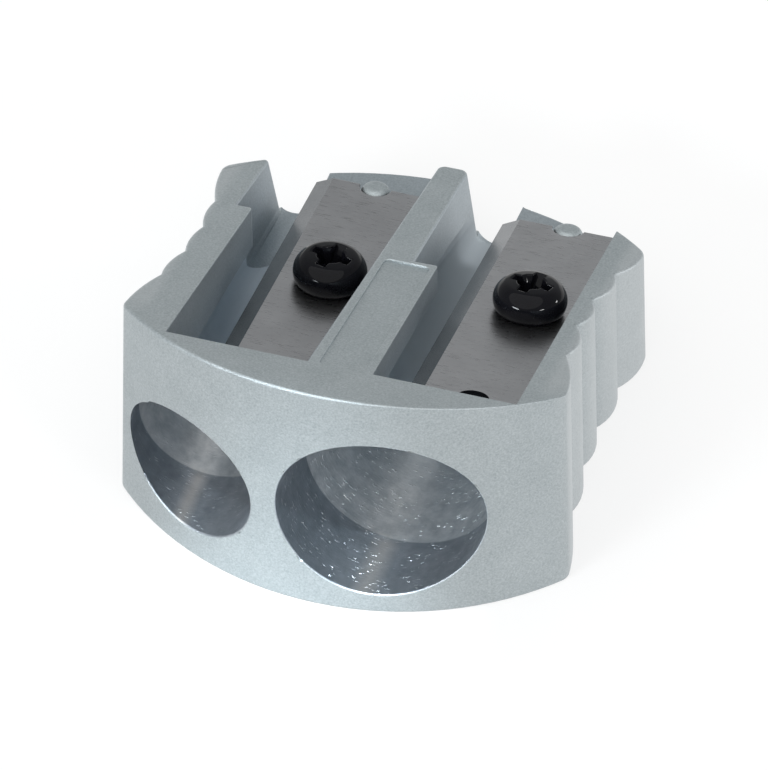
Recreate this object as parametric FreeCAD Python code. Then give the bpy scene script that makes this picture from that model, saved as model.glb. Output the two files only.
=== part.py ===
"""Hand-held two-hole pencil sharpener: a cast wedge, two clamped blades and their screws.

Millimetres. The origin is the middle of the foot. X runs to the right, Y to the back, Z up.
"""
import FreeCAD
import Part
import math
import os

Vector = FreeCAD.Vector
Rotation = FreeCAD.Rotation
Placement = FreeCAD.Placement
X_AXIS = Vector(1, 0, 0)
Y_AXIS = Vector(0, 1, 0)
Z_AXIS = Vector(0, 0, 1)

# Wedge, with its plan sizes at the foot
LENGTH = 27.7
FRONT_HEIGHT = 15.8
REAR_HEIGHT = 6.2
FRONT_ARC_R = 16.9
REAR_ARC_R = 16.9
DRAFT = 1.05
FRONT_CORNER_R = 0.7
REAR_CORNER_R = 1.0
EDGE_R = 0.2

# Finger grips: upright flutes along a hollow waist on each side
FRONT_BEYOND_WAIST = 1.47
REAR_BEYOND_WAIST = 0.95
WAIST_R = 27.5
WAIST_FROM_FRONT = 15.1
FIRST_GROOVE_FROM_FRONT = 9.64
LAST_GROOVE_FROM_BACK = 8.89
GROOVE_COUNT = 4
FLUTE_RISE = 0.23
END_FLUTE_RISE = 0.19

# Pencil holes: a straight guide, then a cone that runs out at the back
SMALL_FROM_WAIST = 3.32
HOLE_SPACING = 10.97
LARGE_FROM_WAIST = 7.71
CONE_HALF_ANGLE = 9.2
BITE = 0.15
RIM_R = 0.15
SMALL_R = 4.0
SMALL_HEIGHT = 5.87
SMALL_PITCH = 2.7
SMALL_YAW = 0.8
SMALL_GUIDE = 4.4
LARGE_R = 5.5
LARGE_HEIGHT = 6.9
LARGE_PITCH = 8.8
LARGE_YAW = -0.8
LARGE_GUIDE = 5.8

# Pockets for the blades, and the chip slots beside the cutting edges
DECK_DEPTH = 3.75
SMALL_SLOT_WALL = 1.55
SMALL_SLOT_DEPTH = 2.95
SMALL_FLARE_FROM_FRONT = 18.8
LARGE_SLOT_WALL = 1.05
LARGE_SLOT_DEPTH = 3.4
LARGE_FLARE_FROM_FRONT = 16.7
FLARE_WALL = 2.2
FLARE_DRAFT = 6.5
SLOT_ROOT_R = 1.1

# Blank label panel on the rib
PANEL_MARGIN = 0.45
PANEL_DEPTH = 0.12
PANEL_CORNER_R = 0.35

# Blades
BLADE_SHORTER_THAN_BODY = 7.2
BLADE_THICKNESS = 0.5
BLADE_BEVEL = 0.95
BLADE_SIDE_CLEARANCE = 0.08
SCREW_BEHIND_MIDDLE = 1.72
SMALL_EDGE_X = 0.03
SMALL_BLADE_WIDTH = 6.12
SMALL_SCREW_FROM_EDGE = 3.67
SMALL_NOTCH_FROM_EDGE = 3.35
SMALL_BLADE_AHEAD = 0.6
LARGE_EDGE_X = 0.25
LARGE_BLADE_WIDTH = 6.5
LARGE_SCREW_FROM_EDGE = 4.0
LARGE_NOTCH_FROM_EDGE = 3.65
LARGE_BLADE_AHEAD = 0.35

# Pip that locates the back end of each blade
PIP_R = 0.8
PIP_HEIGHT = 0.55
PIP_DOME_R = 0.4
PIP_CLEARANCE = 0.08

# Screws
HEAD_R = 2.03
HEAD_HEIGHT = 1.75
HEAD_SHOULDER_R = 0.85
HEAD_CROWN = 0.12
THREAD_R = 0.87
THREAD_LENGTH = 1.7
THREAD_CLEARANCE = 0.03
HOLE_CLEARANCE = 0.23
HOLE_SPARE = 0.1
RECESS_SPAN = 2.3
RECESS_WING = 0.5
RECESS_DEPTH = 0.95
RECESS_CORE_R = 0.62
RECESS_TURN = 45.0

TOLERANCE = 0.001
REACH = 2 * LENGTH
FRONT_Y = -LENGTH / 2
REAR_Y = LENGTH / 2
WAIST_HALF_WIDTH = (SMALL_FROM_WAIST + HOLE_SPACING + LARGE_FROM_WAIST) / 2
FRONT_HALF_WIDTH = WAIST_HALF_WIDTH + FRONT_BEYOND_WAIST
REAR_HALF_WIDTH = WAIST_HALF_WIDTH + REAR_BEYOND_WAIST
SMALL_X = SMALL_FROM_WAIST - WAIST_HALF_WIDTH
LARGE_X = WAIST_HALF_WIDTH - LARGE_FROM_WAIST
FLUTE_PITCH = (LENGTH - FIRST_GROOVE_FROM_FRONT - LAST_GROOVE_FROM_BACK) / (GROOVE_COUNT - 1)
BLADE_LENGTH = LENGTH - BLADE_SHORTER_THAN_BODY
TOP_SLOPE = math.degrees(math.atan2(FRONT_HEIGHT - REAR_HEIGHT, LENGTH))
TOP_PLANE = Placement(Vector(0, FRONT_Y, FRONT_HEIGHT), Rotation(X_AXIS, -TOP_SLOPE))


def front_face_y(x):
    """Where the bowed front stands at a given x."""
    return FRONT_Y + FRONT_ARC_R - math.sqrt(FRONT_ARC_R ** 2 - x ** 2)


def rear_face_y(x):
    """Where the bowed back stands at a given x."""
    return REAR_Y - REAR_ARC_R + math.sqrt(REAR_ARC_R ** 2 - x ** 2)


def waist_x(y):
    """Half width of the hollow waist, where the grooves between the flutes lie."""
    from_waist = y - (FRONT_Y + WAIST_FROM_FRONT)
    return WAIST_HALF_WIDTH + WAIST_R - math.sqrt(WAIST_R ** 2 - from_waist ** 2)


def local_box(placement, x_range, y_range, z_range):
    """A box given by its ranges along the axes of a placement."""
    corner = Vector(x_range[0], y_range[0], z_range[0])
    size = [high - low for low, high in (x_range, y_range, z_range)]
    box = Part.makeBox(size[0], size[1], size[2], corner)
    box.Placement = placement
    return box


def bowed(start, end, rise):
    """An arc from start to end that stands proud of its chord by rise, to the right of travel."""
    along = end - start
    outward = Vector(along.y, -along.x, 0).normalize()
    middle = (start + end) * 0.5 + outward * rise
    return Part.Arc(start, middle, end).toShape()


class Bore:
    """One pencil hole with the seat of its blade, each with its own placement.

    The hole's placement has its origin in the mouth and +Y along the hole. The seat's has its
    origin over the end of the guide, +X to the right, +Y down the cutting edge and +Z off the blade.
    """

    def __init__(self, radius, x, height, pitch, yaw, guide, slot_wall, slot_depth, flare_from_front, edge_x,
                 blade_width, screw_from_edge, notch_from_edge, blade_ahead):
        turn = Rotation(Z_AXIS, -yaw)
        self.radius = radius
        self.guide = guide
        self.slot_wall = slot_wall
        self.slot_depth = slot_depth
        self.flare_y = FRONT_Y + flare_from_front
        self.edge_x = edge_x
        self.blade_width = blade_width
        self.screw_from_edge = screw_from_edge
        self.notch_from_edge = notch_from_edge
        self.pocket_right = edge_x + blade_width + BLADE_SIDE_CLEARANCE
        self.hole = Placement(Vector(x, front_face_y(x), height), turn * Rotation(X_AXIS, -pitch))
        self.cone_length = radius / math.tan(math.radians(CONE_HALF_ANGLE))
        seat_turn = turn * Rotation(X_AXIS, -(pitch + CONE_HALF_ANGLE))
        crown = self.hole.multVec(Vector(0, guide, radius))
        self.seat = Placement(crown - seat_turn.multVec(Z_AXIS) * BITE, seat_turn)
        self.screw_x = edge_x + screw_from_edge
        down = seat_turn.multVec(Y_AXIS)
        across = seat_turn.multVec(X_AXIS)
        run = SCREW_BEHIND_MIDDLE - self.seat.Base.y - across.y * self.screw_x
        self.screw_y = run / down.y
        self.blade_front = -BLADE_LENGTH / 2 - blade_ahead
        self.blade_rear = BLADE_LENGTH / 2 - blade_ahead

    def at_screw(self):
        """The placement on the seat where the blade's screw goes in."""
        return Placement(self.seat.multVec(Vector(self.screw_x, self.screw_y, 0)), self.seat.Rotation)


def outline(inset, z):
    """The plan outline at one height: bowed front and back, and fluted sides along a hollow waist."""
    front_half = FRONT_HALF_WIDTH - inset
    rear_half = REAR_HALF_WIDTH - inset
    front = Vector(front_half, front_face_y(FRONT_HALF_WIDTH) + inset, z)
    rear = Vector(rear_half, rear_face_y(REAR_HALF_WIDTH) - inset, z)
    right_side = [front]
    for i in range(GROOVE_COUNT):
        y = FRONT_Y + FIRST_GROOVE_FROM_FRONT + i * FLUTE_PITCH
        right_side.append(Vector(waist_x(y) - inset, y, z))
    right_side.append(rear)
    left_side = [Vector(-p.x, p.y, z) for p in reversed(right_side)]
    edges = [Part.Arc(left_side[-1], Vector(0, FRONT_Y + inset, z), front).toShape()]
    rises = [END_FLUTE_RISE] + [FLUTE_RISE] * (GROOVE_COUNT - 1) + [END_FLUTE_RISE]
    for start, end, rise in zip(right_side, right_side[1:], rises):
        edges.append(bowed(start, end, rise))
    edges.append(Part.Arc(rear, Vector(0, REAR_Y - inset, z), left_side[0]).toShape())
    for start, end, rise in zip(left_side, left_side[1:], rises):
        edges.append(bowed(start, end, rise))
    return Part.Wire(edges)


def wedge():
    """The outer block, drawn in towards the top by the draft of the mould and cut off by the sloping top."""
    top_inset = FRONT_HEIGHT * math.tan(math.radians(DRAFT))
    block = Part.makeLoft([outline(0, 0), outline(top_inset, FRONT_HEIGHT)], True, True)
    for half_width, radius in ((FRONT_HALF_WIDTH, FRONT_CORNER_R), (REAR_HALF_WIDTH, REAR_CORNER_R)):
        block = block.makeFillet(radius, corner_edges(block, half_width))
    above = local_box(TOP_PLANE, (-REACH, REACH), (-REACH, REACH), (0, REACH))
    block = block.cut(above)
    block = block.makeFillet(EDGE_R, [edge for edge in block.Edges if lies_on_top(edge)])
    return block.makeFillet(EDGE_R, [edge for edge in block.Edges if edge.BoundBox.ZMax < TOLERANCE])


def lies_on_top(edge):
    """Whether an edge lies in the sloping top."""
    to_top = TOP_PLANE.inverse()
    return all(abs(to_top.multVec(point).z) < TOLERANCE for point in edge.discretize(5))


def corner_edges(block, half_width):
    """The two upright edges that start at the foot at a given half width."""
    found = []
    for edge in block.Edges:
        foot = min((v.Point for v in edge.Vertexes), key=lambda point: point.z)
        rises = edge.BoundBox.ZLength > FRONT_HEIGHT / 2
        if rises and abs(abs(foot.x) - half_width) < TOLERANCE:
            found.append(edge)
    return found


def hole_cutter(bore):
    """The guide and the cone of one pencil hole, with a run past the front face."""
    tip = bore.guide + bore.cone_length
    profile = Part.makePolygon([
        Vector(0, -REACH / 4, 0),
        Vector(bore.radius, -REACH / 4, 0),
        Vector(bore.radius, bore.guide, 0),
        Vector(0, tip, 0),
        Vector(0, -REACH / 4, 0),
    ])
    cutter = Part.Face(profile).revolve(Vector(0, 0, 0), Y_AXIS, 360)
    cutter.Placement = bore.hole
    return cutter


def mouth_edges(casting, bore):
    """The edges along which a pencil hole opens in the front."""
    to_hole = bore.hole.inverse()
    found = []
    for edge in casting.Edges:
        points = [to_hole.multVec(point) for point in edge.discretize(7)]
        on_guide = all(abs(math.hypot(p.x, p.z) - bore.radius) < TOLERANCE for p in points)
        before_cone = points[0].y < bore.guide - TOLERANCE
        if on_guide and before_cone and edge.Curve.TypeId != "Part::GeomLine":
            found.append(edge)
    return found


def slot_profile(wall, draft, depth, right):
    """The cross section of a chip slot: a leaning left wall, a round root and a flat floor."""
    lean = math.tan(math.radians(draft))
    top = Vector(-wall - lean * REACH, 0, REACH)
    foot = Vector(-wall + lean * depth, 0, -depth)
    up = (top - foot).normalize()
    setback = SLOT_ROOT_R / math.tan(math.radians(90 + draft) / 2)
    on_wall = foot + up * setback
    on_floor = foot + X_AXIS * setback
    towards_centre = (up + X_AXIS).normalize()
    centre = foot + towards_centre * math.hypot(SLOT_ROOT_R, setback)
    on_root = centre - towards_centre * SLOT_ROOT_R
    edges = [
        Part.makeLine(top, on_wall),
        Part.Arc(on_wall, on_root, on_floor).toShape(),
        Part.makeLine(on_floor, Vector(right, 0, -depth)),
        Part.makeLine(Vector(right, 0, -depth), Vector(right, 0, REACH)),
        Part.makeLine(Vector(right, 0, REACH), top),
    ]
    return Part.Face(Part.Wire(edges))


def pocket_cutter(bore):
    """Everything cut from the top for one blade: seat, chip slot and the flare at its back."""
    pocket = local_box(bore.seat, (-bore.slot_wall, bore.pocket_right), (-REACH, REACH), (0, REACH))
    slot = slot_profile(bore.slot_wall, 0, bore.slot_depth, bore.edge_x).extrude(Y_AXIS * 2 * REACH)
    slot.translate(Y_AXIS * -REACH)
    slot.Placement = bore.seat * slot.Placement
    behind_deck = Part.makeBox(REACH, REACH, REACH, Vector(-REACH / 2, FRONT_Y + DECK_DEPTH, 0))
    flare = slot_profile(FLARE_WALL, FLARE_DRAFT, bore.slot_depth, bore.edge_x).extrude(Y_AXIS * 2 * REACH)
    flare.translate(Y_AXIS * -REACH)
    flare.Placement = bore.seat * flare.Placement
    behind_step = Part.makeBox(REACH, REACH, REACH, Vector(-REACH / 2, bore.flare_y, 0))
    return [pocket.common(behind_deck), slot.common(behind_deck), flare.common(behind_step)]


def pip(bore):
    """The domed pip cast on the seat, in the notch at the back end of the blade."""
    pin = Part.makeCylinder(PIP_R, 2 * PIP_HEIGHT, Vector(0, 0, -PIP_HEIGHT))
    top_edge = [e for e in pin.Edges if e.BoundBox.ZMin > PIP_HEIGHT / 2]
    pin = pin.makeFillet(PIP_DOME_R, top_edge)
    at = bore.seat.multVec(Vector(bore.edge_x + bore.notch_from_edge, bore.screw_y + bore.blade_rear, 0))
    pin.Placement = Placement(at, bore.seat.Rotation)
    return pin


def screw_hole(bore):
    """The blind hole that the screw's thread grips."""
    depth = THREAD_LENGTH - BLADE_THICKNESS + HOLE_SPARE
    hole = Part.makeCylinder(THREAD_R + THREAD_CLEARANCE, 2 * depth, Vector(0, 0, -depth))
    hole.Placement = bore.at_screw()
    return hole


def label_panel(small, large):
    """A shallow blank panel sunk in the wide part of the rib between the two pockets."""
    left = small.seat.multVec(Vector(small.pocket_right, small.screw_y, 0)).x
    right = large.seat.multVec(Vector(-large.slot_wall, 0, 0)).x
    slope = math.cos(math.radians(TOP_SLOPE))
    x_range = (left + PANEL_MARGIN, right - PANEL_MARGIN)
    y_range = (DECK_DEPTH / slope, (LARGE_FLARE_FROM_FRONT - PANEL_MARGIN) / slope)
    panel = local_box(Placement(), x_range, y_range, (-PANEL_DEPTH, PANEL_DEPTH))
    uprights = [e for e in panel.Edges if e.BoundBox.ZLength > PANEL_DEPTH]
    panel = panel.makeFillet(PANEL_CORNER_R, uprights)
    panel.Placement = TOP_PLANE
    return panel


def body(small, large):
    """The one-piece casting."""
    casting = wedge()
    for bore in (small, large):
        casting = casting.cut(hole_cutter(bore))
        casting = casting.makeFillet(RIM_R, mouth_edges(casting, bore))
    for bore in (small, large):
        casting = casting.cut(pocket_cutter(bore)).fuse(pip(bore)).cut(screw_hole(bore))
    return casting.cut(label_panel(small, large)).removeSplitter()


def blade(bore):
    """A ground steel blade: a bevelled cutting edge, a screw hole and a round notch at each end."""
    cutting_edge = -bore.screw_from_edge
    corner = Vector(cutting_edge, bore.blade_front, 0)
    plate = Part.makeBox(bore.blade_width, BLADE_LENGTH, BLADE_THICKNESS, corner)
    bevel = Part.makePolygon([
        Vector(cutting_edge, -BLADE_LENGTH, 0),
        Vector(cutting_edge + BLADE_BEVEL, -BLADE_LENGTH, BLADE_THICKNESS),
        Vector(cutting_edge, -BLADE_LENGTH, BLADE_THICKNESS),
        Vector(cutting_edge, -BLADE_LENGTH, 0),
    ])
    cuts = [Part.Face(bevel).extrude(Y_AXIS * 2 * BLADE_LENGTH)]
    cuts.append(Part.makeCylinder(THREAD_R + HOLE_CLEARANCE, 2 * BLADE_THICKNESS))
    for end in (bore.blade_front, bore.blade_rear):
        notch = Vector(cutting_edge + bore.notch_from_edge, end, 0)
        cuts.append(Part.makeCylinder(PIP_R + PIP_CLEARANCE, 2 * BLADE_THICKNESS, notch))
    plate = plate.cut(cuts)
    plate.Placement = bore.at_screw()
    return plate


def recess():
    """The cross recess in a screw head, measured down from the top of the head."""
    wings = []
    for turn in (0, 90):
        wing = Part.makePolygon([
            Vector(-RECESS_SPAN / 2, -RECESS_WING / 2, HEAD_CROWN),
            Vector(RECESS_SPAN / 2, -RECESS_WING / 2, HEAD_CROWN),
            Vector(RECESS_CORE_R, -RECESS_WING / 2, -RECESS_DEPTH),
            Vector(-RECESS_CORE_R, -RECESS_WING / 2, -RECESS_DEPTH),
            Vector(-RECESS_SPAN / 2, -RECESS_WING / 2, HEAD_CROWN),
        ])
        wing = Part.Face(wing).extrude(Y_AXIS * RECESS_WING)
        wing.rotate(Vector(0, 0, 0), Z_AXIS, turn + RECESS_TURN)
        wings.append(wing)
    core = Part.makeCylinder(RECESS_CORE_R, RECESS_DEPTH + HEAD_CROWN, Vector(0, 0, -RECESS_DEPTH))
    return wings[0].fuse([wings[1], core])


def screw(bore):
    """A pan-head screw with a cross recess, standing in its hole with its head on the blade."""
    rim = HEAD_HEIGHT - HEAD_CROWN
    under = -THREAD_LENGTH
    tip_chamfer = THREAD_R / 4
    turn_in = math.sqrt(0.5) * HEAD_SHOULDER_R
    shoulder = Vector(HEAD_R - HEAD_SHOULDER_R + turn_in, 0, rim - HEAD_SHOULDER_R + turn_in)
    crown_mid = Vector((HEAD_R - HEAD_SHOULDER_R) / 2, 0, rim + HEAD_CROWN * 0.75)
    top = Vector(0, 0, HEAD_HEIGHT)
    shoulder_top = Vector(HEAD_R - HEAD_SHOULDER_R, 0, rim)
    side_top = Vector(HEAD_R, 0, rim - HEAD_SHOULDER_R)
    outline = [
        side_top,
        Vector(HEAD_R, 0, 0),
        Vector(THREAD_R, 0, 0),
        Vector(THREAD_R, 0, under + tip_chamfer),
        Vector(THREAD_R - tip_chamfer, 0, under),
        Vector(0, 0, under),
        top,
    ]
    edges = [
        Part.Arc(top, crown_mid, shoulder_top).toShape(),
        Part.Arc(shoulder_top, shoulder, side_top).toShape(),
    ]
    for start, end in zip(outline, outline[1:]):
        edges.append(Part.makeLine(start, end))
    solid = Part.Face(Part.Wire(edges)).revolve(Vector(0, 0, 0), Z_AXIS, 360)
    cross = recess()
    cross.translate(Z_AXIS * HEAD_HEIGHT)
    solid = solid.cut(cross)
    on_blade = bore.at_screw()
    on_blade.Base = on_blade.multVec(Z_AXIS * BLADE_THICKNESS)
    solid.Placement = on_blade
    return solid


small_bore = Bore(
    radius=SMALL_R, x=SMALL_X, height=SMALL_HEIGHT, pitch=SMALL_PITCH, yaw=SMALL_YAW, guide=SMALL_GUIDE,
    slot_wall=SMALL_SLOT_WALL, slot_depth=SMALL_SLOT_DEPTH, flare_from_front=SMALL_FLARE_FROM_FRONT,
    edge_x=SMALL_EDGE_X, blade_width=SMALL_BLADE_WIDTH, screw_from_edge=SMALL_SCREW_FROM_EDGE,
    notch_from_edge=SMALL_NOTCH_FROM_EDGE, blade_ahead=SMALL_BLADE_AHEAD,
)
large_bore = Bore(
    radius=LARGE_R, x=LARGE_X, height=LARGE_HEIGHT, pitch=LARGE_PITCH, yaw=LARGE_YAW, guide=LARGE_GUIDE,
    slot_wall=LARGE_SLOT_WALL, slot_depth=LARGE_SLOT_DEPTH, flare_from_front=LARGE_FLARE_FROM_FRONT,
    edge_x=LARGE_EDGE_X, blade_width=LARGE_BLADE_WIDTH, screw_from_edge=LARGE_SCREW_FROM_EDGE,
    notch_from_edge=LARGE_NOTCH_FROM_EDGE, blade_ahead=LARGE_BLADE_AHEAD,
)
pieces = {
    "body": body(small_bore, large_bore),
    "small_blade": blade(small_bore),
    "large_blade": blade(large_bore),
    "small_blade_screw": screw(small_bore),
    "large_blade_screw": screw(large_bore),
}
os.makedirs("parts", exist_ok=True)
for name, shape in pieces.items():
    shape.exportStep(os.path.join("parts", name + ".step"))
    print(name, "solids", len(shape.Solids), "valid", shape.isValid(), "volume", round(shape.Volume, 2))
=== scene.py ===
"""Looks of a hand-held two-hole pencil sharpener: a cast wedge, two ground blades and their black screws."""
import math

import bmesh
import bpy
from mathutils import Matrix, Vector


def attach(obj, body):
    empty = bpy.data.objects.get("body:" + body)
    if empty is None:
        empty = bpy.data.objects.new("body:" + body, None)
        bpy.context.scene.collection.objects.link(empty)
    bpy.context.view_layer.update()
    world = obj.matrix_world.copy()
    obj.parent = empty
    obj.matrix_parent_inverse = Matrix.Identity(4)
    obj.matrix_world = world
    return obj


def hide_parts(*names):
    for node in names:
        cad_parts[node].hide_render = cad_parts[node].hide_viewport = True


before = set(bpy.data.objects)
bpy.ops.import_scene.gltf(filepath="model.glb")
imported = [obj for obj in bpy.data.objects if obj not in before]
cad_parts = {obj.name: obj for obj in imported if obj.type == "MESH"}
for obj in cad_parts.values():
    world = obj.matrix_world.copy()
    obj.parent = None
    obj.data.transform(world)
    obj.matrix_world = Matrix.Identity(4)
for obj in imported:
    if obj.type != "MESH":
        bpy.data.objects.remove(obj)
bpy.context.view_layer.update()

# Casting
# One light-alloy die casting carries everything: the pencil holes, the seats of the blades, the chip slots
# and the fluted finger grips. It leaves the mould with a fine grain and soft edges, and the holes are reamed.
# Its mesh is shaped in millimetres and shrunk to metres at the end.
MM = 0.001
FRONT_Y = -13.85
REAR_Y = 13.85
FRONT_HEIGHT = 15.8
TOP_SLOPE = math.atan2(15.8 - 6.2, 27.7)
TOP_NORMAL = Vector((0, math.sin(TOP_SLOPE), math.cos(TOP_SLOPE)))
ARC_R = 16.9
FRONT_HALF_WIDTH = 12.47
REAR_HALF_WIDTH = 11.95
FRONT_CORNER = 0.32
REAR_CORNER = 0.42
WAIST_R = 27.5
WAIST_Y = 1.25
LEFT_GRIP = {
    "half_width": 11.0,
    "grooves": (-4.21, -1.15, 1.9, 4.96),
    "rises": (0.19, 0.23, 0.23, 0.23, 0.19),
}
RIGHT_GRIP = {
    "half_width": 10.75,
    "grooves": (-3.9, -0.5, 2.6, 5.85),
    "rises": (0.25, 0.5, 0.5, 0.5, 0.35),
}
DRAFT = math.radians(1.05)
CONE_HALF_ANGLE = math.radians(9.2)
BITE = 0.15
DECK_Y = -10.1
FLARE_WALL = 2.2
FLARE_LEAN = math.radians(6.5)
SLOT_ROOT_R = 1.1
PIP_R = 0.8
PIP_HEIGHT = 0.55
PIP_ROOT = 0.5
PIP_DOME = 0.4
SCREW_HOLE_R = 0.9
SCREW_HOLE_DEPTH = 1.3
SCREW_CLEAR = 1.2
PANEL = ((-0.81, 1.7), (3.97, 17.2))
PANEL_DEPTH = 0.12
PANEL_CORNER = 0.35
BACK_FROM_Y = 8.0
END_R = 0.45
END_SOFT = 0.15
FOOT_SOFT = 0.2
OUTLINE_SOFT = 0.2
OUTLINE_FROM_R = 10.2
RIM_SOFT = 0.13
ARRIS_SOFT = 0.05
BEYOND = 60.0
# The last line of each hole sets how much its wall is scored, and two painted shades: how far its whole wall
# is dimmed, and the darker colour painted deep in its cone.
BORES = {
    "small": {
        "x": -7.68, "height": 5.87, "pitch": 2.7, "yaw": 0.8, "radius": 4.0, "guide": 4.4,
        "wall": 1.55, "depth": 2.95, "edge": 0.03, "right": 6.23, "flare_y": 4.95,
        "screw": (-3.788, 1.72, 7.5676), "pip": (-3.976, 11.166, 5.578),
        "painted_light_share": 0.89, "scored": 0.25, "far": (0.58, 0.64, 0.69),
    },
    "large": {
        "x": 3.29, "height": 6.9, "pitch": 8.8, "yaw": -0.8, "radius": 5.5, "guide": 5.8,
        "wall": 1.05, "depth": 3.4, "edge": 0.25, "right": 6.83, "flare_y": 2.85,
        "screw": (7.3275, 1.72, 8.4908), "pip": (6.846, 11.13, 5.432),
        "painted_light_share": 1.0, "scored": 0.6, "far": (0.44, 0.48, 0.51),
    },
}
# The slots and seats take a darker copy of the cast finish, as painted shade in them.
SHADED_GROOVE_FINISH = 1
BORE_FINISHES = (2, 3)
SOFTEST = 0.3
TIGHT_CORNER = Vector((10.07, -10.1, 14.5))
ARRIS_ANGLES = (math.radians(35), math.radians(140))
SMOOTH_ANGLE = math.radians(35)


def sagitta(half_chord):
    """How far the bowed front or back stands proud of a chord."""
    return ARC_R - math.sqrt(ARC_R ** 2 - half_chord ** 2)


def bow(shape, start, end, rise, steps):
    """Adds an arc from start to end that stands proud of its chord by rise, to the right of travel."""
    chord = end - start
    outward = Vector((chord.y, -chord.x, 0)).normalized()
    radius = (chord.length_squared / 4 + rise * rise) / (2 * rise)
    centre = (start + end) / 2 + outward * (rise - radius)
    angle = 2 * math.asin(chord.length / 2 / radius)
    first = shape.verts.new(start)
    bmesh.ops.spin(shape, geom=[first], cent=centre, axis=(0, 0, 1), angle=angle, steps=steps)


def soften(shape, geom, offset, segments, affect):
    """Rounds edges or corners of a bmesh."""
    bmesh.ops.bevel(
        shape, geom=geom, offset=offset, offset_type="OFFSET", segments=segments, profile=0.5, affect=affect,
        material=-1,
    )


def cut_off(shape, point, normal, side):
    """Cuts a closed shape along a plane, throws one side away and closes the cut."""
    everything = shape.verts[:] + shape.edges[:] + shape.faces[:]
    found = bmesh.ops.bisect_plane(
        shape, geom=everything, plane_co=point, plane_no=normal, dist=1e-6, **{side: True},
    )
    rim = [item for item in found["geom_cut"] if isinstance(item, bmesh.types.BMEdge)]
    bmesh.ops.contextual_create(shape, geom=rim)
    bmesh.ops.recalc_face_normals(shape, faces=shape.faces)


def pull_out(shape, step):
    """Pulls the one face of a shape out into a block, and gives the vertices of its far end."""
    pulled = bmesh.ops.extrude_face_region(shape, geom=shape.faces[:], use_keep_orig=True)
    far = [item for item in pulled["geom"] if isinstance(item, bmesh.types.BMVert)]
    bmesh.ops.translate(shape, verts=far, vec=step)
    bmesh.ops.recalc_face_normals(shape, faces=shape.faces)
    return far


def grip(front, rear, half_width, grooves):
    """The corners of one fluted side, front to back: its grooves lie on a hollow waist."""
    corners = [front]
    for y in grooves:
        corners.append(Vector((half_width + WAIST_R - math.sqrt(WAIST_R ** 2 - (y - WAIST_Y) ** 2), y, 0)))
    return corners + [rear]


def wedge():
    """The outer block: bowed front and back, fluted sides drawn in by the mould's draft, a sloping top."""
    shape = bmesh.new()
    front = Vector((FRONT_HALF_WIDTH, FRONT_Y + sagitta(FRONT_HALF_WIDTH), 0))
    rear = Vector((REAR_HALF_WIDTH, REAR_Y - sagitta(REAR_HALF_WIDTH), 0))
    right = grip(front, rear, RIGHT_GRIP["half_width"], RIGHT_GRIP["grooves"])
    left = grip(front, rear, LEFT_GRIP["half_width"], LEFT_GRIP["grooves"])
    left = [Vector((-corner.x, corner.y, 0)) for corner in reversed(left)]
    bow(shape, left[-1], front, sagitta(FRONT_HALF_WIDTH), 32)
    bow(shape, rear, left[0], sagitta(REAR_HALF_WIDTH), 28)
    for corners, rises in ((right, RIGHT_GRIP["rises"]), (left, LEFT_GRIP["rises"])):
        for start, end, rise in zip(corners, corners[1:], rises):
            bow(shape, start, end, rise, 8)
    bmesh.ops.remove_doubles(shape, verts=shape.verts, dist=1e-4)
    bmesh.ops.contextual_create(shape, geom=shape.edges)
    for corner, offset in ((front, FRONT_CORNER), (rear, REAR_CORNER)):
        mirrored = Vector((-corner.x, corner.y, 0))
        found = [v for v in shape.verts if min((v.co - corner).length, (v.co - mirrored).length) < 1e-3]
        soften(shape, found, offset, 6, "VERTICES")
    height = FRONT_HEIGHT + 1
    top = pull_out(shape, (0, 0, height))
    inset = height * math.tan(DRAFT)
    bmesh.ops.scale(shape, verts=top, vec=(1 - inset / FRONT_HALF_WIDTH, 1 - inset / REAR_Y, 1))
    cut_off(shape, Vector((0, FRONT_Y, FRONT_HEIGHT)), TOP_NORMAL, "clear_outer")
    return shape


def placements(bore):
    """A pencil hole's placement, +Y along it, and its blade seat's, +Y down the cutting edge."""
    turn = Matrix.Rotation(-math.radians(bore["yaw"]), 4, "Z")
    mouth = Vector((bore["x"], FRONT_Y + sagitta(bore["x"]), bore["height"]))
    pitch = math.radians(bore["pitch"])
    hole = Matrix.Translation(mouth) @ turn @ Matrix.Rotation(-pitch, 4, "X")
    tilt = turn @ Matrix.Rotation(-pitch - CONE_HALF_ANGLE, 4, "X")
    crown = hole @ Vector((0, bore["guide"], bore["radius"]))
    seat = Matrix.Translation(crown - tilt.col[2].xyz * BITE) @ tilt
    return hole, seat


def trace(shape, places):
    """Adds a line through places (x, y)."""
    verts = [shape.verts.new((x, y, 0)) for x, y in places]
    for pair in zip(verts, verts[1:]):
        shape.edges.new(pair)


def revolve(shape, steps):
    """Turns a line that starts and ends on the Y axis once round that axis, into a closed shape."""
    bmesh.ops.remove_doubles(shape, verts=shape.verts, dist=1e-4)
    line = shape.verts[:] + shape.edges[:]
    bmesh.ops.spin(
        shape, geom=line, cent=(0, 0, 0), axis=(0, 1, 0), angle=2 * math.pi, steps=steps, use_merge=True,
    )
    bmesh.ops.remove_doubles(shape, verts=shape.verts, dist=1e-4)
    bmesh.ops.recalc_face_normals(shape, faces=shape.faces)


def hole_tool(bore, hole, finish_index):
    """The guide and the cone of a pencil hole."""
    tip = bore["guide"] + bore["radius"] / math.tan(CONE_HALF_ANGLE)
    radius = bore["radius"]
    shape = bmesh.new()
    trace(shape, [(0, -BEYOND / 4), (radius, -BEYOND / 4), (radius, bore["guide"]), (0, tip)])
    revolve(shape, 96)
    bmesh.ops.transform(shape, matrix=hole, verts=shape.verts)
    for face in shape.faces:
        face.material_index = finish_index
    return shape


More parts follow.
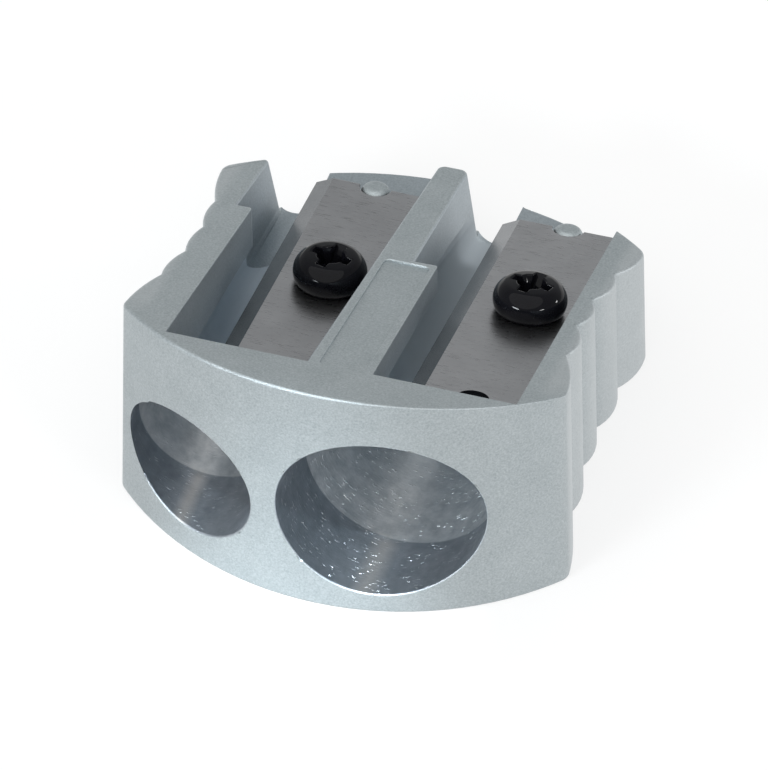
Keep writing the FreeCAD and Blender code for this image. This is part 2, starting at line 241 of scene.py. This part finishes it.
def groove_tool(seat, places, root_setback, from_y):
    """A cut along a blade's seat, behind a given y. The second corner of its section is round."""
    shape = bmesh.new()
    verts = [shape.verts.new((x, -BEYOND, z)) for x, z in places]
    shape.faces.new(verts)
    soften(shape, [verts[1]], root_setback, 10, "VERTICES")
    pull_out(shape, (0, 2 * BEYOND, 0))
    bmesh.ops.transform(shape, matrix=seat, verts=shape.verts)
    cut_off(shape, Vector((0, from_y, 0)), Vector((0, 1, 0)), "clear_inner")
    # Its faces take the darker copy of the cast finish: painted shade in the slot.
    for face in shape.faces:
        face.material_index = SHADED_GROOVE_FINISH
    return shape


def pocket_tool(bore, seat):
    """The seat of a blade and the chip slot beside its cutting edge."""
    places = [
        (-bore["wall"], BEYOND), (-bore["wall"], -bore["depth"]),
        (bore["edge"], -bore["depth"]), (bore["edge"], 0),
        (bore["right"], 0), (bore["right"], BEYOND),
    ]
    return groove_tool(seat, places, SLOT_ROOT_R, DECK_Y)


def flare_tool(bore, seat):
    """The wider back end of a chip slot, with a leaning wall."""
    lean = math.tan(FLARE_LEAN)
    right = bore["edge"] - 0.1
    places = [
        (-FLARE_WALL - lean * BEYOND, BEYOND), (-FLARE_WALL + lean * bore["depth"], -bore["depth"]),
        (right, -bore["depth"]), (right, BEYOND),
    ]
    setback = SLOT_ROOT_R / math.tan((math.pi / 2 + FLARE_LEAN) / 2)
    return groove_tool(seat, places, setback, bore["flare_y"])


def pin_tool(place, seat, radius, low, high, dome):
    """A round pin square to a seat, from one height to another, with its top edge rounded."""
    shape = bmesh.new()
    upright = Matrix.Translation(place) @ seat.to_3x3().to_4x4()
    bmesh.ops.create_cone(
        shape, cap_ends=True, segments=40, radius1=radius, radius2=radius, depth=high - low,
        matrix=Matrix.Translation((0, 0, (high + low) / 2)),
    )
    rim = [edge for edge in shape.edges if all(vert.co.z > high - 1e-4 for vert in edge.verts)]
    soften(shape, rim, dome, 6, "EDGES")
    bmesh.ops.transform(shape, matrix=upright, verts=shape.verts)
    return shape


def corner_tool(low, high, wall, back):
    """Rounds an upright corner where it is cut away, given its ends and the normals of its two walls."""
    along_wall = (back - wall * back.dot(wall)).normalized()
    along_back = (wall - back * wall.dot(back)).normalized()
    shape = bmesh.new()
    proud = 0.01
    clear = 0.05
    start = Vector((proud, -END_R, 0))
    end = Vector((-END_R, proud, 0))
    bow(shape, start, end, END_R * (1 - math.sqrt(0.5)), 8)
    trace(shape, [end.xy, (-END_R, clear), (clear, clear), (clear, -END_R), start.xy])
    bmesh.ops.remove_doubles(shape, verts=shape.verts, dist=1e-4)
    bmesh.ops.contextual_create(shape, geom=shape.edges)
    pull_out(shape, (0, 0, 1))
    upright = Matrix((along_back, along_wall, (high - low) * 1.3)).transposed().to_4x4()
    bmesh.ops.transform(shape, matrix=Matrix.Translation(low) @ upright, verts=shape.verts)
    bmesh.ops.recalc_face_normals(shape, faces=shape.faces)
    return shape


def end_corner(piece, wall_x, side):
    """The corner of a wall and the back: its lower and upper end, and the normals of both."""
    shape = bmesh.new()
    shape.from_mesh(piece.data)
    ends = []
    walls = []
    backs = []
    for edge in shape.edges:
        middle = (edge.verts[0].co + edge.verts[1].co) / 2
        if middle.y < BACK_FROM_Y or abs(middle.x - wall_x) > 2 or not edge.is_convex:
            continue
        normals = [face.normal.copy() for face in edge.link_faces]
        wall, back = sorted(normals, key=lambda normal: normal.y)
        if wall.x * side > 0.9 and back.y > 0.65 and abs(back.z) < 0.1:
            ends += [vert.co.copy() for vert in edge.verts]
            walls.append(wall)
            backs.append(back)
    shape.free()
    ends.sort(key=lambda end: end.z)
    return ends[0], ends[-1], sum(walls, Vector()).normalized(), sum(backs, Vector()).normalized()


def panel_tool():
    """The shallow blank panel on the rib."""
    (left, right), (front, back) = PANEL
    shape = bmesh.new()
    size = Matrix.Diagonal((right - left, back - front, 2 * PANEL_DEPTH, 1))
    middle = Matrix.Translation(((left + right) / 2, (front + back) / 2, 0))
    bmesh.ops.create_cube(shape, size=1, matrix=middle @ size)
    uprights = [
        edge for edge in shape.edges
        if abs(edge.verts[0].co.z - edge.verts[1].co.z) > PANEL_DEPTH
    ]
    soften(shape, uprights, PANEL_CORNER, 5, "EDGES")
    top = Matrix.Translation((0, FRONT_Y, FRONT_HEIGHT)) @ Matrix.Rotation(-TOP_SLOPE, 4, "X")
    bmesh.ops.transform(shape, matrix=top, verts=shape.verts)
    return shape


def piece_from(shape, name):
    """A new object of the scene that holds a finished bmesh."""
    mesh = bpy.data.meshes.new(name)
    shape.to_mesh(mesh)
    shape.free()
    piece = bpy.data.objects.new(name, mesh)
    bpy.context.scene.collection.objects.link(piece)
    return piece


def carve(piece, shape, operation):
    """Cuts a tool's shape out of a piece, or joins it on."""
    tool = piece_from(shape, "tool")
    step = piece.modifiers.new("carve", "BOOLEAN")
    step.operation = operation
    step.solver = "EXACT"
    step.object = tool
    carved = piece.evaluated_get(bpy.context.evaluated_depsgraph_get())
    piece.data = bpy.data.meshes.new_from_object(carved)
    piece.modifiers.clear()
    bpy.data.objects.remove(tool)


def softness(edge):
    """The radius that the mould or the reamer leaves on an outside edge of the casting."""
    low, high = ARRIS_ANGLES
    if not (edge.is_manifold and edge.is_convex and low < edge.calc_face_angle() < high):
        return 0
    ends = [vert.co for vert in edge.verts]
    middle = (ends[0] + ends[1]) / 2
    normals = [face.normal for face in edge.link_faces]
    on_top = any(normal.dot(TOP_NORMAL) > 0.999 for normal in normals)
    if max(end.z for end in ends) < 0.01:
        return FOOT_SOFT
    if any(face.material_index in BORE_FINISHES for face in edge.link_faces):
        return RIM_SOFT if middle.y < DECK_Y else 0
    if any((middle - Vector(bore["screw"])).length < SCREW_CLEAR for bore in BORES.values()):
        return 0
    if any(all(abs(end.y - bore["flare_y"]) < 0.01 for end in ends) for bore in BORES.values()):
        return SOFTEST
    if on_top and any(normal.x > 0.9 and 0.08 < normal.z < 0.2 for normal in normals):
        return END_SOFT
    outward = Vector((middle.x, middle.y, 0)).normalized()
    faces_out = any(normal.dot(outward) > 0.35 and abs(normal.z) < 0.1 for normal in normals)
    if on_top and faces_out and middle.xy.length > OUTLINE_FROM_R:
        by_tight_corner = 0.01 + 0.022 * (middle - TIGHT_CORNER).length
        by_back = END_SOFT + 0.02 * max(0, 9 - middle.y)
        return min(OUTLINE_SOFT, by_tight_corner, by_back)
    beside_panel = middle.x < PANEL[0][0] and any(normal.x < -0.9 for normal in normals)
    if on_top and (beside_panel or middle.y > BACK_FROM_Y):
        return END_SOFT
    if middle.y > BACK_FROM_Y and any(normal.y > 0.65 and abs(normal.z) < 0.1 for normal in normals):
        return 0
    return ARRIS_SOFT if min((end - TIGHT_CORNER).length for end in ends) > 0.1 else 0


def soften_casting(piece):
    """Joins the flat faces of the carved casting, marks how soft each edge is and shrinks it to metres."""
    shape = bmesh.new()
    shape.from_mesh(piece.data)
    bmesh.ops.remove_doubles(shape, verts=shape.verts, dist=0.02)
    bmesh.ops.dissolve_limit(shape, angle_limit=math.radians(0.03), verts=shape.verts, edges=shape.edges)
    weight = shape.edges.layers.float.new("bevel_weight_edge")
    for edge in shape.edges:
        edge[weight] = softness(edge) / SOFTEST
    bmesh.ops.scale(shape, verts=shape.verts, vec=(MM, MM, MM))
    for face in shape.faces:
        face.smooth = True
    shape.to_mesh(piece.data)
    shape.free()
    rounding = piece.modifiers.new("rounding", "BEVEL")
    rounding.limit_method = "WEIGHT"
    rounding.width = SOFTEST * MM
    rounding.segments = 4
    rounding.use_clamp_overlap = False
    rounding.harden_normals = False
    weighted = piece.modifiers.new("weighted", "WEIGHTED_NORMAL")
    weighted.keep_sharp = True


class Value:
    """A socket in the nodes of a finish. Arithmetic on it adds Math nodes."""

    def __init__(self, tree, socket):
        self.tree = tree
        self.socket = socket

    def node(self, kind, settings, sockets, output=0):
        """Adds any node: its settings first, then the values or links of its sockets."""
        made = self.tree.nodes.new(kind)
        for key, setting in settings.items():
            setattr(made, key, setting)
        for key, value in sockets.items():
            if isinstance(value, Value):
                self.tree.links.new(value.socket, made.inputs[key])
            else:
                made.inputs[key].default_value = value
        return Value(self.tree, made.outputs[output])

    def math(self, operation, *values):
        """A Math node on any number of values."""
        return self.node("ShaderNodeMath", {"operation": operation}, dict(enumerate(values)))

    def __add__(self, other):
        return self.math("ADD", self, other)

    def __radd__(self, other):
        return self.math("ADD", other, self)

    def __sub__(self, other):
        return self.math("SUBTRACT", self, other)

    def __rsub__(self, other):
        return self.math("SUBTRACT", other, self)

    def __mul__(self, other):
        return self.math("MULTIPLY", self, other)

    def __rmul__(self, other):
        return self.math("MULTIPLY", other, self)

    def noise(self, scale, detail, roughness=0.5):
        """Noise at this place, from 0 to 1, of so many lumps to the metre."""
        sockets = {"Vector": self, "Scale": scale, "Detail": detail, "Roughness": roughness}
        return self.node("ShaderNodeTexNoise", {}, sockets)

    def ramp(self, low, high):
        """This value spread from 0 at low to 1 at high."""
        return self.node("ShaderNodeMapRange", {}, {"Value": self, "From Min": low, "From Max": high})

    def part(self, axis):
        """The x, y or z of this place, by its number."""
        return self.node("ShaderNodeSeparateXYZ", {}, {0: self}, output=axis)

    def local(self, placement):
        """This place as seen from a placement given in millimetres."""
        sockets = {"Vector": self, "Location": placement.translation * MM, "Rotation": placement.to_euler()}
        return self.node("ShaderNodeMapping", {"vector_type": "TEXTURE"}, sockets)

    def stretched(self, scale):
        """This place drawn out along its axes."""
        return self.node("ShaderNodeMapping", {}, {"Vector": self, "Scale": scale})

    def tint(self, dark, light):
        """A colour between two, by this value. Either may be a colour value."""
        colours = [colour if isinstance(colour, Value) else (*colour, 1) for colour in (dark, light)]
        sockets = {0: self, 6: colours[0], 7: colours[1]}
        return self.node("ShaderNodeMix", {"data_type": "RGBA"}, sockets, output=2)

    def bump(self, height, strength):
        """A normal that this value raises by a height in metres."""
        return self.node("ShaderNodeBump", {}, {"Height": self, "Distance": height, "Strength": strength})


def new_finish(name):
    """A new material with a Principled shader, and the place on the surface to draw its pattern from."""
    finish = bpy.data.materials.new(name)
    finish.use_nodes = True
    tree = finish.node_tree
    place = Value(tree, tree.nodes.new("ShaderNodeTexCoord").outputs["Object"])
    return finish, tree.nodes["Principled BSDF"], place


def feed(shader, sockets):
    """Sets or links sockets of a finish's shader."""
    for key, value in sockets.items():
        if isinstance(value, Value):
            value.tree.links.new(value.socket, shader.inputs[key])
        else:
            shader.inputs[key].default_value = value


def cast_alloy(name, dark, light):
    """As-cast light alloy: pale satin grey, finely grained, faintly cloudy, with a painted sheen that
    lightens the grips.
    """
    finish, shader, place = new_finish(name)
    off_middle = place.math("ABSOLUTE", place.part(0))
    # Painted sheen: the fluted sides behind the front corners are painted lighter, standing for the light
    # they take.
    grip_sheen = off_middle.ramp(10.6 * MM, 11.2 * MM) * place.part(1).ramp(-9 * MM, -7 * MM)
    grain = place.noise(9000, 3, 0.65)
    cloud = place.noise(420, 2)
    tone = grain.ramp(0.3, 0.7) * 0.85 + cloud.ramp(0.3, 0.7) * 0.15
    feed(shader, {
        "Base Color": (grip_sheen * 0.3).tint(tone.tint(dark, light), (0.68, 0.7, 0.71)),
        "Metallic": 1.0,
        "Roughness": 0.42 + grain * 0.2,
        "Normal": grain.bump(0.02 * MM, 0.6),
    })
    return finish


def reamed_alloy(name, hole, bore):
    """The wall of a pencil hole, mottled, with fine marks round it, and light and shade painted on: shade on
    its left, over the whole wall and deep in the cone, a lighter cone and a streak of light along the guide.
    """
    finish, shader, place = new_finish(name)
    radius = bore["radius"]
    guide = bore["guide"]
    inside = place.local(hole)
    across = inside.part(0)
    along = inside.part(1)
    turned = across.math("ARCTAN2", across, inside.part(2) * -1) * (radius * MM)
    unrolled = place.node("ShaderNodeCombineXYZ", {}, {0: turned, 1: along})
    marks = unrolled.stretched((0.33, 1.0, 1.0)).noise(7500, 2)
    patches = place.noise(900, 2).ramp(0.44, 0.6) * along.ramp((guide + 9) * MM, (guide + 5) * MM)
    scores = marks.ramp(0.62, 0.68) * patches * bore["scored"]
    mottle = place.noise(1300, 4, 0.6).ramp(0.3, 0.7)
    in_cone = along.ramp((guide - 0.05) * MM, (guide + 0.05) * MM)
    shaded_depth = along.ramp((guide + 3) * MM, (guide + 9) * MM)
    farthest = along.ramp((guide + 8) * MM, (guide + 12) * MM)
    # Painted shade: the left side of the hole's wall is painted darker.
    left = across.ramp(0.5 * radius * MM, -0.8 * radius * MM)
    plain = left.tint(
        mottle.tint((0.38, 0.41, 0.45), (0.52, 0.55, 0.59)),
        mottle.tint((0.31, 0.35, 0.39), (0.43, 0.47, 0.52)),
    )
    # Painted light: the cone is painted lighter than the guide, for the light it takes through the mouth.
    bright = in_cone.tint(plain, mottle.tint((0.66, 0.69, 0.71), (0.97, 0.98, 0.99)))
    # Painted shade: the whole wall is dimmed towards black, the small hole more than the large.
    painted_dimming = {0: bore["painted_light_share"], 6: (0, 0, 0.02, 1), 7: bright}
    near = place.node("ShaderNodeMix", {"data_type": "RGBA"}, painted_dimming, output=2)
    # Painted highlight: a warm streak of light along the floor of the guide, where light falls through the
    # slot.
    off_light_streak = turned.math("ABSOLUTE", turned + 0.12 * radius * MM)
    on_guide = along.ramp((guide + 0.3) * MM, (guide - 0.5) * MM)
    light_streak = off_light_streak.ramp(0.16 * radius * MM, 0.02 * radius * MM) * on_guide
    # Painted shade: deep in the cone, where it shows through the slot, the wall is painted darker towards the
    # far colour.
    far = farthest.tint((0.58, 0.64, 0.69), bore["far"])
    wall = (light_streak * 0.3).tint(shaded_depth.tint(near, far), (1.0, 0.9, 0.8))
    feed(shader, {
        "Base Color": scores.tint(wall, (1.0, 1.0, 1.0)),
        "Metallic": 1.0,
        "Roughness": 0.42 + farthest * 0.25 - scores * 0.25,
        "Normal": (marks * 0.2 + scores).bump(0.04 * MM, 0.9),
    })
    return finish


casting = piece_from(wedge(), "casting")
casting.data.materials.append(cast_alloy("cast_alloy", (0.33, 0.37, 0.385), (0.53, 0.57, 0.585)))
# A darker copy of the cast finish for the slots and seats: painted shade.
casting.data.materials.append(cast_alloy("cast_grooves_shaded", (0.30, 0.34, 0.365), (0.46, 0.505, 0.535)))
for name, bore in BORES.items():
    hole = placements(bore)[0]
    casting.data.materials.append(reamed_alloy(name + "_bore", hole, bore))
for index, bore in zip(BORE_FINISHES, BORES.values()):
    hole, seat = placements(bore)
    carve(casting, hole_tool(bore, hole, index), "DIFFERENCE")
    carve(casting, pocket_tool(bore, seat), "DIFFERENCE")
    carve(casting, flare_tool(bore, seat), "DIFFERENCE")
    pip = pin_tool(bore["pip"], seat, PIP_R, -PIP_ROOT, PIP_HEIGHT, PIP_DOME)
    carve(casting, pip, "UNION")
    screw_hole = pin_tool(bore["screw"], seat, SCREW_HOLE_R, -SCREW_HOLE_DEPTH, 1, 0.1)
    carve(casting, screw_hole, "DIFFERENCE")
small_x, large_x = [placements(bore)[1].translation.x for bore in BORES.values()]
rib_x = small_x + BORES["small"]["right"]
for wall_x, side in ((small_x - FLARE_WALL, 1), (rib_x, -1), (large_x - FLARE_WALL, 1)):
    carve(casting, corner_tool(*end_corner(casting, wall_x, side)), "DIFFERENCE")
carve(casting, panel_tool(), "DIFFERENCE")
soften_casting(casting)
casting.data.set_sharp_from_angle(angle=SMOOTH_ANGLE)
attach(casting, "sharpener")
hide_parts("body")

# Blades
# Two strips of hardened steel, punched out, ground flat and bevelled to a cutting edge. Each lies on its
# seat in the casting, with a notch round a cast pip at its back end, and a screw holds it down.
BLADE_ARRIS = 0.03
BLADE_FINISHES = (
    ("", (0.34, 0.34, 0.35), (0.41, 0.41, 0.42), 0.23),
    # Painted shade: the bevel is darker, standing for the dark slot wall it mirrors.
    ("_bevel_dark", (0.2, 0.21, 0.22), (0.26, 0.27, 0.28), 0.18),
    # Painted shade: the punched sides and notches are near black, standing for the shade in the gaps round
    # the blade.
    ("_sides_shade", (0.012, 0.012, 0.014), (0.03, 0.03, 0.035), 0.4),
)


def merged_copy(node):
    """A bmesh copy of a CAD node in millimetres, with its loose triangles joined into whole faces."""
    shape = bmesh.new()
    shape.from_mesh(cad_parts[node].data)
    bmesh.ops.scale(shape, verts=shape.verts, vec=(1 / MM, 1 / MM, 1 / MM))
    bmesh.ops.remove_doubles(shape, verts=shape.verts, dist=1e-3)
    bmesh.ops.dissolve_limit(shape, angle_limit=math.radians(0.1), verts=shape.verts, edges=shape.edges)
    return shape


def ground_steel(name, seat, dark, light, rough):
    """Ground steel: grey, with short dark grinding marks across the blade."""
    finish, shader, place = new_finish(name)
    on_seat = place.local(seat)
    marks = on_seat.stretched((0.12, 1.0, 1.0)).noise(13000, 2)
    scores = marks.ramp(0.37, 0.29)
    cloud = place.noise(500, 3)
    tone = marks.ramp(0.3, 0.7) * 0.4 + cloud.ramp(0.3, 0.7) * 0.6
    feed(shader, {
        "Base Color": (scores * 0.4).tint(tone.tint(dark, light), (0.5 * dark[0],) * 3),
        "Metallic": 1.0,
        "Roughness": rough + marks * 0.12,
        "Normal": marks.bump(0.006 * MM, 0.5),
    })
    return finish


def blade(name, seat):
    """One blade, its arrises broken, with a finish for its flats, a darker one painted on its bevel as shade,
    and near black painted on its punched sides as shade.
    """
    shape = merged_copy(name)
    for face in shape.faces:
        upright = abs(face.normal.dot(seat.col[2].xyz))
        face.material_index = 2 if upright < 0.1 else int(upright < 0.99)
    sharp = [edge for edge in shape.edges if edge.is_manifold and edge.calc_face_angle() > ARRIS_ANGLES[0]]
    soften(shape, sharp, BLADE_ARRIS, 2, "EDGES")
    bmesh.ops.scale(shape, verts=shape.verts, vec=(MM, MM, MM))
    piece = piece_from(shape, name + "_ground")
    for suffix, dark, light, rough in BLADE_FINISHES:
        piece.data.materials.append(ground_steel(name + suffix, seat, dark, light, rough))
    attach(piece, "sharpener")
    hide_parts(name)


for name, bore in BORES.items():
    blade(name + "_blade", placements(bore)[1])

# Screws
# Two short pan-head screws of blackened steel with barrel sides and a cross recess. Each clamps a blade
# to the casting: its thread passes through the blade and bites into a blind hole.
HEAD_FOOT = (1.75, 0.5)
HEAD_SHOULDER = (1.4, 2.2)
HEAD_TOP = (0.0, 2.3)
SIDE_BOW = 0.43
TOP_BOW = 0.04
THREAD_R = 0.87
THREAD_END = -1.2
THREAD_CHAMFER = 0.2
RECESS_TURN = math.radians(-14)
RECESS_LOW = 1.3
RECESS_HIGH = 2.5
RECESS_SPANS = (1.36, 2.55)
RECESS_WING = 0.58
RECESS_CORE = (0.5, 0.85)
RECESS_EDGE = 0.08


def wing_tool(turn):
    """One bar of the cross recess, narrower at its bottom."""
    shape = bmesh.new()
    size = Matrix.Diagonal((RECESS_SPANS[1], RECESS_WING, RECESS_HIGH - RECESS_LOW, 1))
    middle = Matrix.Translation((0, 0, (RECESS_HIGH + RECESS_LOW) / 2))
    bmesh.ops.create_cube(shape, size=1, matrix=middle @ size)
    low = [vert for vert in shape.verts if vert.co.z < middle.translation.z]
    bmesh.ops.scale(shape, verts=low, vec=(RECESS_SPANS[0] / RECESS_SPANS[1], 1, 1))
    bmesh.ops.rotate(shape, verts=shape.verts, cent=(0, 0, 0), matrix=Matrix.Rotation(turn, 3, "Z"))
    return shape


def core_tool():
    """The round middle of the cross recess."""
    shape = bmesh.new()
    bmesh.ops.create_cone(
        shape, cap_ends=True, segments=32, radius1=RECESS_CORE[0], radius2=RECESS_CORE[1],
        depth=RECESS_HIGH - RECESS_LOW, matrix=Matrix.Translation((0, 0, (RECESS_HIGH + RECESS_LOW) / 2)),
    )
    return shape


def screw(name, bore, seat, finish):
    """One screw, turned about its axis, with its recess cut and the edges of the recess softened."""
    shape = bmesh.new()
    foot, shoulder, top = [Vector((*place, 0)) for place in (HEAD_FOOT, HEAD_SHOULDER, HEAD_TOP)]
    bow(shape, foot, shoulder, SIDE_BOW, 16)
    bow(shape, shoulder, top, TOP_BOW, 8)
    trace(shape, [
        HEAD_FOOT, (THREAD_R, HEAD_FOOT[1]), (THREAD_R, THREAD_END + THREAD_CHAMFER),
        (THREAD_R - THREAD_CHAMFER, THREAD_END), (0, THREAD_END),
    ])
    revolve(shape, 72)
    bmesh.ops.rotate(shape, verts=shape.verts, cent=(0, 0, 0), matrix=Matrix.Rotation(math.pi / 2, 3, "X"))
    piece = piece_from(shape, name + "_turned")
    for turn in (RECESS_TURN, RECESS_TURN + math.pi / 2):
        carve(piece, wing_tool(turn), "DIFFERENCE")
    carve(piece, core_tool(), "DIFFERENCE")
    shape = bmesh.new()
    shape.from_mesh(piece.data)
    bmesh.ops.remove_doubles(shape, verts=shape.verts, dist=0.01)
    rim = [
        edge for edge in shape.edges
        if edge.is_convex and edge.calc_face_angle(0) > ARRIS_ANGLES[0]
        and all(vert.co.z > 1.8 and vert.co.xy.length < 1.5 for vert in edge.verts)
    ]
    soften(shape, rim, RECESS_EDGE, 3, "EDGES")
    bmesh.ops.delete(shape, geom=[edge for edge in shape.edges if not edge.link_faces], context="EDGES")
    for face in shape.faces:
        face.smooth = True
    upright = Matrix.Scale(MM, 4) @ Matrix.Translation(bore["screw"]) @ seat.to_3x3().to_4x4()
    bmesh.ops.transform(shape, matrix=upright, verts=shape.verts)
    shape.to_mesh(piece.data)
    shape.free()
    piece.data.set_sharp_from_angle(angle=SMOOTH_ANGLE)
    piece.data.materials.append(finish)
    return piece


def black_lacquer():
    """Glossy black on steel."""
    finish, shader, place = new_finish("black_lacquer")
    dust = place.noise(3000, 2)
    feed(shader, {
        "Base Color": dust.tint((0.002, 0.002, 0.003), (0.005, 0.005, 0.007)),
        "Roughness": 0.03 + dust * 0.06,
        "Specular IOR Level": 0.13,
    })
    return finish


screw_finish = black_lacquer()
for name, bore in BORES.items():
    piece = screw(name + "_screw", bore, placements(bore)[1], screw_finish)
    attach(piece, name + "_screw")
    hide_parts(name + "_blade_screw")

# Floor
# A plain white table top under the sharpener. It takes a soft shadow, and fades to white
# for the camera and in the metal.
FLOOR_HALF = 1.5

shape = bmesh.new()
bmesh.ops.create_grid(shape, x_segments=1, y_segments=1, size=FLOOR_HALF)
floor = piece_from(shape, "floor")


def white_table():
    """White that the camera and the metal see as white, and that still takes a shadow."""
    finish, shader, _ = new_finish("white_table")
    tree = finish.node_tree
    path = tree.nodes.new("ShaderNodeLightPath")
    mirrored = Value(tree, path.outputs["Is Glossy Ray"]) + Value(tree, path.outputs["Is Transmission Ray"])
    seen = Value(tree, path.outputs["Is Camera Ray"]) * 0.7 + mirrored * 0.85
    feed(shader, {"Base Color": (0.9, 0.9, 0.9, 1), "Roughness": 0.9, "Specular IOR Level": 0.0})
    glow = seen.node("ShaderNodeEmission", {}, {"Color": (1, 1, 1, 1), "Strength": 1.0})
    mixed = seen.node("ShaderNodeMixShader", {}, {0: seen, 1: Value(tree, shader.outputs[0]), 2: glow})
    tree.links.new(mixed.socket, tree.nodes["Material Output"].inputs["Surface"])
    return finish


floor.data.materials.append(white_table())

# Light
# A pale grey room with a large soft box overhead, a small one to each side of the front and one
# at the right, and a narrow spot on the table before the sharpener.
ROOM_GREY = (0.51, 0.525, 0.53, 1)

world = bpy.data.worlds.new("room")
world.use_nodes = True
world.node_tree.nodes["Background"].inputs["Color"].default_value = ROOM_GREY
bpy.context.scene.world = world


def soft_box(name, place, target, size, watts, colour):
    """An oval area light, so wide and so high, that faces a target."""
    lamp = bpy.data.lights.new(name, "AREA")
    lamp.shape = "ELLIPSE"
    lamp.size, lamp.size_y = size
    lamp.energy = watts
    lamp.color = colour
    box = bpy.data.objects.new(name, lamp)
    box.location = place
    box.rotation_euler = (Vector(target) - Vector(place)).to_track_quat("-Z", "Y").to_euler()
    bpy.context.scene.collection.objects.link(box)


def narrow_spot(name, place, target, angle, watts, colour):
    """A spot light with a soft edge that faces a target."""
    lamp = bpy.data.lights.new(name, "SPOT")
    lamp.spot_size = angle
    lamp.spot_blend = 1.0
    lamp.shadow_soft_size = 0.002
    lamp.energy = watts
    lamp.color = colour
    spot = bpy.data.objects.new(name, lamp)
    spot.location = place
    spot.rotation_euler = (Vector(target) - Vector(place)).to_track_quat("-Z", "Y").to_euler()
    bpy.context.scene.collection.objects.link(spot)


soft_box("overhead", (-0.05, -0.12, 0.5), (0, 0, 0), (1.0, 1.0), 2.2, (1.0, 0.99, 0.97))
soft_box("front_left", (-0.276, -0.478, 0.234), (0, 0, 0), (0.24, 0.06), 1.7, (0.9, 0.96, 1.0))
soft_box("front_right", (0.461, -0.304, 0.234), (0, 0, 0), (0.15, 0.03), 0.6, (1.0, 1.0, 1.0))
soft_box("right", (0.526, 0.251, 0.145), (0, 0, 0), (0.09, 0.06), 0.45, (1.0, 1.0, 1.0))
narrow_spot(
    "table_spot", (-0.002, -0.25, 0.58), (-0.002, -0.0185, 0), math.radians(2.2), 60.0, (0.8, 0.93, 1.0),
)

# Camera
# A long lens that looks down at the sharpener from the front, a little to its right.
# It is level but for a slight tilt.
AZIMUTH = math.radians(16.634)
ELEVATION = math.radians(46.025)
ROLL = math.radians(-0.308)
DISTANCE = 795.37 * MM
AIM_RIGHT = 3.429 * MM
AIM_UP = 11.5 * MM
AIM = Vector((0.192, -13.559, 0)) * MM
LENS = 700.4
SENSOR = 36.0

across = Vector((math.cos(AZIMUTH), math.sin(AZIMUTH), 0))
back = Vector((
    math.sin(AZIMUTH) * math.cos(ELEVATION), -math.cos(AZIMUTH) * math.cos(ELEVATION), math.sin(ELEVATION),
))
level_up = back.cross(across)
right = across * math.cos(ROLL) + level_up * math.sin(ROLL)
up = level_up * math.cos(ROLL) - across * math.sin(ROLL)
optics = bpy.data.cameras.new("camera")
optics.lens = LENS
optics.sensor_width = SENSOR
optics.sensor_fit = "HORIZONTAL"
optics.clip_end = 10
camera = bpy.data.objects.new("camera", optics)
turn = Matrix((right, up, back)).transposed().to_4x4()
place = back * DISTANCE + right * AIM_RIGHT + up * AIM_UP + AIM
camera.matrix_world = Matrix.Translation(place) @ turn
bpy.context.scene.collection.objects.link(camera)
bpy.context.scene.camera = camera
bpy.context.scene.view_settings.view_transform = "Standard"
